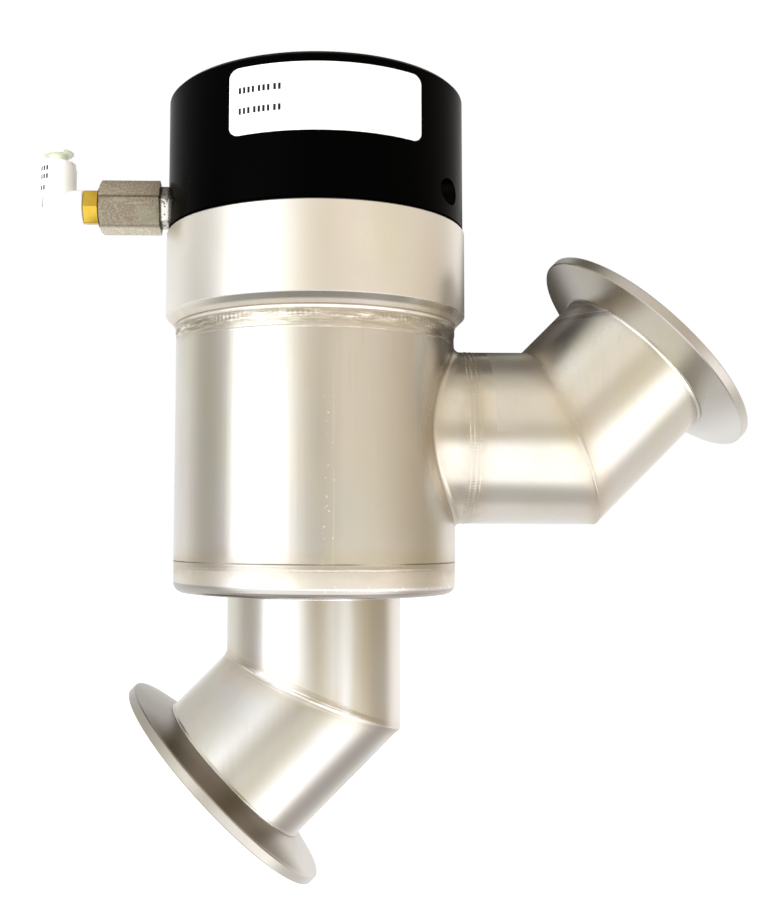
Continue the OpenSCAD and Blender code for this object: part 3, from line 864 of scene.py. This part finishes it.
bead("weld_side_mitre", side_mitre_seam, 1.8, 0.08, rough=0.04, steps=600)
bead("weld_lower_mitre", lower_mitre_seam, 4.2, 0.11, rough=0.035, steps=720)

# %% [markdown]
# A third kind of seam runs round each flange, where its neck meets the end of the tube. The two
# faces' mounts give the centre and the direction, and two directions square to it give the circle.

# %% Flange welds
flange_r = mounts["side_port_rim"]["dims"]["r_mm"]
RIM = 2.9
TAPER = math.radians(15)
neck = RIM + (flange_r - port_r - 0.8) * math.tan(TAPER)


def tilted_seam(face, direction, radius, behind):
    """A circle `behind` millimetres back from a sealing face."""
    centre = face - direction * behind
    side = Vector((0, 1, 0))
    up = direction.cross(side)

    def seam(turn):
        out = side * math.cos(turn) + up * math.sin(turn)
        return centre + out * radius, out, direction, 0.0

    return seam


side_way = Vector(mounts["side_port_recess"]["axis"]).normalized()
lower_way = Vector(mounts["lower_port_recess"]["axis"]).normalized()
for name, face, way in (("side", side_face, side_way), ("lower", lower_face, lower_way)):
    bead("weld_%s_flange" % name, tilted_seam(face, way, port_r, neck + 0.2), 1.5, 0.22, rough=0.04,
         ripples=150, ripple=0.05, steps=600)

# %% [markdown]
# ## Hexagons with worn edges
#
# The fitting's hexagons catch the light along their edges, because no real edge is sharp. Each is a
# copy of its node, merged, with its flat faces made whole, and then bevelled along every edge that
# turns more than 20 degrees. The copy replaces the node for the eye only.

# %% Soften the edges of a node
def softened(node, width, slot):
    mesh = bmesh.new()
    mesh.from_mesh(nodes[node].data)
    bmesh.ops.remove_doubles(mesh, verts=mesh.verts, dist=0.000004)
    bmesh.ops.dissolve_limit(mesh, angle_limit=math.radians(1.0), verts=mesh.verts,
                             edges=mesh.edges)
    sharp = [edge for edge in mesh.edges
             if len(edge.link_faces) == 2 and edge.calc_face_angle() > math.radians(20)]
    bmesh.ops.bevel(mesh, geom=sharp, offset=width * MM, offset_type="OFFSET", affect="EDGES",
                    segments=2, profile=0.5, material=-1, clamp_overlap=True)
    bmesh.ops.remove_doubles(mesh, verts=mesh.verts, dist=0.000002)
    piece = finish_piece(node + "_shown", mesh, slot)
    piece.data.set_sharp_from_angle(angle=math.radians(28))
    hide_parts(node)


softened("hex_coupling", 0.16, "coupling_steel")
softened("hex_nipple", 0.18, "nipple_steel")
softened("fitting_body", 0.10, "brass")

# %% [markdown]
# ## The push-in elbow
#
# The elbow is one moulding: an upright barrel for the air tube and an arm that snaps over the brass
# neck. Two turned shapes overlap, a voxel remesh fuses them and rounds the corner where they meet,
# and two bores are cut afterwards so that the tube's socket stays crisp.

# %% Turned shapes
TURNING_STEPS = 96


def turned(mesh, outline, place):
    """Spin an outline of [radius, height] in millimetres about Z and put it in place."""
    verts = [mesh.verts.new((radius * MM, 0, height * MM)) for radius, height in outline]
    edges = [mesh.edges.new(pair) for pair in zip(verts, verts[1:])]
    bmesh.ops.spin(mesh, geom=verts + edges, cent=(0, 0, 0), axis=(0, 0, 1), angle=math.tau,
                   steps=TURNING_STEPS, use_merge=True)
    fresh = [vert for vert in mesh.verts if not vert.tag]
    bmesh.ops.transform(mesh, matrix=place, verts=fresh)
    bmesh.ops.remove_doubles(mesh, verts=fresh, dist=0.000002)
    for vert in mesh.verts:
        vert.tag = True
    bmesh.ops.recalc_face_normals(mesh, faces=mesh.faces)


barrel_low, barrel_high = [in_valve(corner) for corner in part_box("elbow_body")]
barrel_r = barrel_high.y
barrel_x = barrel_low.x + barrel_r
inlet_z = (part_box("hex_coupling")[0].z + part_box("hex_coupling")[1].z) / 2 / MM - joint_z / MM
upright = Matrix.Translation(spot(barrel_x, 0, 0))
to_right = Matrix.Translation(spot(barrel_x, 0, inlet_z)) @ Matrix.Rotation(math.pi / 2, 4, "Y")
ARM_R = 5.2
arm_end = barrel_high.x - barrel_x
print("elbow axis x %.1f, inlet z %.1f, arm %.1f mm" % (barrel_x, inlet_z, arm_end))

# %% [markdown]
# The barrel steps in a little above the arm and has a small lip at its mouth. The arm is a plain
# stub with a rounded end.

# %% Fuse the moulding
def baked(piece):
    """Put the result of a piece's modifiers into its mesh."""
    evaluated = piece.evaluated_get(bpy.context.evaluated_depsgraph_get())
    data = bpy.data.meshes.new_from_object(evaluated)
    old = piece.data
    piece.modifiers.clear()
    piece.data = data
    bpy.data.meshes.remove(old)


def cutter(name, outline, place):
    mesh = bmesh.new()
    turned(mesh, outline, place)
    return add_mesh(name, mesh)


foot, mouth = barrel_low.z, barrel_high.z
shell = bmesh.new()
turned(shell, [(0, foot), (barrel_r - 2.4, foot), (barrel_r - 0.9, foot + 0.7),
               (barrel_r - 0.1, foot + 2.4), (barrel_r, foot + 4), (barrel_r, mouth - 2.0),
               (barrel_r - 0.25, mouth - 1.7), (barrel_r - 0.25, mouth - 0.5),
               (barrel_r - 0.8, mouth), (0, mouth)], upright)
turned(shell, [(0, 0), (ARM_R, 0), (ARM_R, arm_end - 0.4), (ARM_R - 0.4, arm_end), (0, arm_end)],
       to_right)
elbow = finish_piece("push_in_elbow", shell, "fitting_white", "elbow")
remesh = elbow.modifiers.new("fuse", "REMESH")
remesh.mode = "VOXEL"
remesh.voxel_size = 0.00019
remesh.use_smooth_shade = True
relax = elbow.modifiers.new("relax", "SMOOTH")
relax.factor = 0.5
relax.iterations = 5
baked(elbow)
SOCKET_R, NECK_R = 4.0, 3.63
bore = cutter("bore", [(0, 11.2), (2.05, 11.2), (2.05, 12.6), (SOCKET_R, 12.6),
                       (SOCKET_R, mouth + 2), (0, mouth + 2)], upright)
neck_bore = cutter("neck_bore", [(0, 2.4), (NECK_R, 2.4), (NECK_R, arm_end + 2), (0, arm_end + 2)],
                   to_right)
for tool in (bore, neck_bore):
    cut = elbow.modifiers.new(tool.name, "BOOLEAN")
    cut.operation = "DIFFERENCE"
    cut.object = tool
    cut.solver = "EXACT"
baked(elbow)
for tool in (bore, neck_bore):
    bpy.data.objects.remove(tool)
elbow.data.set_sharp_from_angle(angle=math.radians(40))
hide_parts("elbow_body")
print("elbow:", len(elbow.data.polygons), "faces")

# %% [markdown]
# ## Printed marks
#
# The label carries two short rows near its upper left corner, and the elbow a few small marks on
# its front. What they say doesn't belong on a shared part, so they are plain bars of the same size:
# thin plates, each turned to lie flat on its own bit of the round surface.

# %% Bars on round surfaces
INK = 0.03


def printed_bars(name, bars, axis, radius, body):
    """bars holds (angle, height, width, tall): degrees from the front, and millimetres."""
    mesh = bmesh.new()
    for angle, height, width, tall in bars:
        turn = Matrix.Rotation(math.radians(angle), 4, "Z")
        place = (Matrix.Translation(spot(axis, 0, height)) @ turn
                 @ Matrix.Translation((0, -radius * MM, 0))
                 @ Matrix.Diagonal((width * MM, INK * MM, tall * MM, 1)))
        bmesh.ops.create_cube(mesh, size=1.0, matrix=place)
    finish_piece(name, mesh, "rubber_black", body)


label_low, label_high = [in_valve(corner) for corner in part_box("cap_label")]
label_r = -label_low.y
LETTER_W, LETTER_H = 0.75, 1.75
LETTER_STEP, WORD_GAP = 1.72, 0.35      # degrees from bar to bar, and a gap in such steps
rows = [(label_high.z - 6.4, (4, 3, 2)), (label_high.z - 12.1, (3, 4, 2))]
bars = []
for height, words in rows:
    angle = -29.0
    for word in words:
        for _ in range(word):
            bars.append((angle, height, LETTER_W, LETTER_H))
            angle += LETTER_STEP
        angle += WORD_GAP * LETTER_STEP
printed_bars("label_bars", bars, 0, label_r + 0.005, "root")
printed_bars("elbow_bars", [(-46 + 11 * step, height, 0.6, 1.4)
                            for height, count in ((19.8, 3), (17.3, 3), (13.9, 2))
                            for step in range(count)]
             + [(-38, 9.4, 0.35, 3.2)], barrel_x, barrel_r, "elbow")

# %% [markdown]
# ## Stage and light
#
# The valve hangs in front of a pale floor. The room is drawn in the world shader, by direction:
# a wide bright window at the front left, a second bright band low in front, a dimmer patch
# round the camera, and duller walls to both sides. Steel shows little but its surroundings, so these
# few bright and dull areas decide how it looks. Behind the valve everything is white.

# %% The floor
FLOOR_SIZE = 3.0
floor_z = cad_box[0][2] - 2 * MM
floor_mesh = bmesh.new()
bmesh.ops.create_grid(floor_mesh, x_segments=1, y_segments=1, size=FLOOR_SIZE,
                      matrix=Matrix.Translation((axis_x, 0, floor_z)))
floor = add_mesh("floor", floor_mesh)
floor_finish, place = start_finish("floor")
close_finish(place, grain(place, 220, detail=3.0), 0.0002, Base_Color=colour(0.95, 0.95, 0.95),
             Roughness=0.9, Emission_Color=colour(1, 1, 1), Emission_Strength=0.65)
floor.data.materials.append(floor_finish)
floor.visible_glossy = False
print("floor at", round(floor_z, 4))

# %% [markdown]
# The world's brightness is a ramp round the horizon, mixed with a second ramp for what lies low and
# a third for what lies high. 0 on each ramp is straight behind the valve, a half is towards the
# camera, a quarter is the left and three quarters the right. `at` counts in degrees instead, from
# the camera to the right. A few patches straight below, low to the right and overhead are set apart.

# %% The room
world = bpy.data.worlds.new("room")
bpy.context.scene.world = world
world.use_nodes = True
world.node_tree.nodes.clear()
look = Signal(world.node_tree).node("TexCoord", {}, {}, out="Generated")
split = look.node("SeparateXYZ", {}, {"Vector": look})
ahead, height = split.other("Y") * -1, split.other("Z")
bearing = split.math("ARCTAN2", split, ahead) / math.tau + 0.5
WHITE = colour(1, 1, 1)


def at(angle, red, green, blue):
    """A ramp's stop at a bearing in degrees from the camera, to the right."""
    return angle / 360 + 0.5, colour(red, green, blue)


level = bearing.node("ValToRGB", {"stops": [
    at(-180, 0.48, 0.48, 0.49), at(-128, 0.46, 0.46, 0.45), at(-104, 0.26, 0.25, 0.23),
    at(-90, 0.25, 0.24, 0.22), at(-75, 0.34, 0.335, 0.33), at(-67, 1.0, 1.02, 1.06),
    at(-29, 1.0, 1.02, 1.06), at(-18, 0.62, 0.60, 0.55), at(-8, 0.41, 0.38, 0.33),
    at(3, 0.34, 0.31, 0.26), at(22, 0.46, 0.42, 0.36), at(48, 0.42, 0.385, 0.32),
    at(74, 0.335, 0.29, 0.23), at(97, 0.27, 0.23, 0.175), at(112, 0.28, 0.25, 0.20),
    at(132, 0.50, 0.48, 0.46), at(180, 0.48, 0.48, 0.49)]}, {"Fac": bearing})
low = bearing.node("ValToRGB", {"stops": [
    at(-180, 0.50, 0.50, 0.51), at(-112, 0.46, 0.46, 0.45), at(-84, 0.36, 0.36, 0.35),
    at(-62, 0.90, 0.92, 0.95), at(-30, 0.90, 0.92, 0.95), at(0, 0.88, 0.88, 0.88),
    at(20, 0.88, 0.88, 0.87), at(36, 1.0, 1.0, 1.02), at(62, 1.0, 1.0, 1.02),
    at(88, 0.42, 0.40, 0.38), at(140, 0.46, 0.44, 0.43), at(180, 0.50, 0.50, 0.51)]},
    {"Fac": bearing})
high = bearing.node("ValToRGB", {"stops": [
    at(-180, 0.36, 0.36, 0.37), at(-112, 0.36, 0.35, 0.34), at(-68, 0.42, 0.41, 0.39),
    at(-40, 0.56, 0.56, 0.54), at(-18, 0.50, 0.48, 0.44), at(0, 0.53, 0.49, 0.44),
    at(60, 0.48, 0.44, 0.38), at(100, 0.36, 0.33, 0.29), at(180, 0.36, 0.36, 0.37)]},
    {"Fac": bearing})
room = blend(level, low, ease(height, -0.02, -0.32))
room = blend(room, colour(0.32, 0.31, 0.30), ease(height, -0.84, -0.95) * ease(ahead, -0.30, -0.05))
low_right = ease(height, -0.52, -0.66) * ease(height, -0.92, -0.82) * ease(split, 0.25, 0.45)
room = blend(room, colour(0.36, 0.35, 0.34), low_right * ease(ahead, 0.10, -0.20))
room = blend(room, high, ease(height, 0.12, 0.42))
room = blend(room, colour(0.30, 0.28, 0.25), ease(height, 0.80, 0.98))
room = blend(room, colour(0.10, 0.09, 0.08), ease(height, 0.66, 0.82) * ease(ahead, 0.12, -0.10))
ROOM_LIGHT = 2.1
seen = look.node("LightPath", {}, {}, out="Is Camera Ray")
inside = look.node("Background", {}, {"Color": room, "Strength": ROOM_LIGHT})
outside = look.node("Background", {}, {"Color": WHITE, "Strength": 1.0})
mixed = look.node("MixShader", {}, {0: seen, 1: inside, 2: outside})
look.node("OutputWorld", {}, {"Surface": mixed})
print("room ready")

# %% [markdown]
# One soft lamp works beside the room, at the upper left, and gives the label and the plastic a
# direction. It doesn't show in the steel. The plain view transform keeps whites white.

# %% Lamp and view
lamp_data = bpy.data.lights.new("window", "AREA")
lamp_data.shape, lamp_data.size, lamp_data.energy = "SQUARE", 0.8, 9.0
lamp = add_object("window", lamp_data)
lamp_offset = Vector((-0.8, -0.8, 0.5))
lamp.location = Vector((axis_x, 0, joint_z)) + lamp_offset
lamp.rotation_euler = (-lamp_offset).to_track_quat("-Z", "Y").to_euler()
lamp.visible_glossy = False
lamp.visible_camera = False
bpy.context.scene.view_settings.view_transform = "Standard"
print("lamp and view set")

# %% [markdown]
# A dark card of painted shade stands close behind the corner between the cap and the side elbow, in
# place of the shade that falls in that corner, the way a studio uses a flag. Only reflections see it,
# as a painted reflection of that shade. It leans with the elbow, and its edges fade so that the
# reflection has no outline.

# %% Dark card of painted shade
# The card is a sheet of painted shade that only reflections see.
CARD_WIDE, CARD_TALL = 33, 80
card_middle = spot(53, 52, 8)
card_mesh = bmesh.new()
lean = Matrix.Rotation(math.radians(-45), 4, "Y") @ Matrix.Rotation(math.pi / 2, 4, "X")
bmesh.ops.create_grid(card_mesh, x_segments=1, y_segments=1, size=1.0,
                      matrix=Matrix.Translation(card_middle) @ lean
                      @ Matrix.Diagonal((CARD_WIDE * MM, CARD_TALL * MM, 1, 1)))
shade_card = add_mesh("shade_card", card_mesh)
card_finish, place = start_finish("shade_card")
x, y, z = valve_mm(place)
from_x, from_z = x - (card_middle.x - axis_x) / MM, z - (card_middle.z - joint_z) / MM
across = abs(from_x + from_z) * (SLANT / CARD_WIDE)
along = abs(from_z - from_x) * (SLANT / CARD_TALL)
close_finish(place, Base_Color=colour(0.10, 0.09, 0.08), Roughness=1.0,
             Alpha=(1 - ease(across, 0.35, 1.0)) * (1 - ease(along, 0.6, 1.0)))
shade_card.data.materials.append(card_finish)
shade_card.visible_camera = shade_card.visible_diffuse = shade_card.visible_shadow = False
print("card placed")
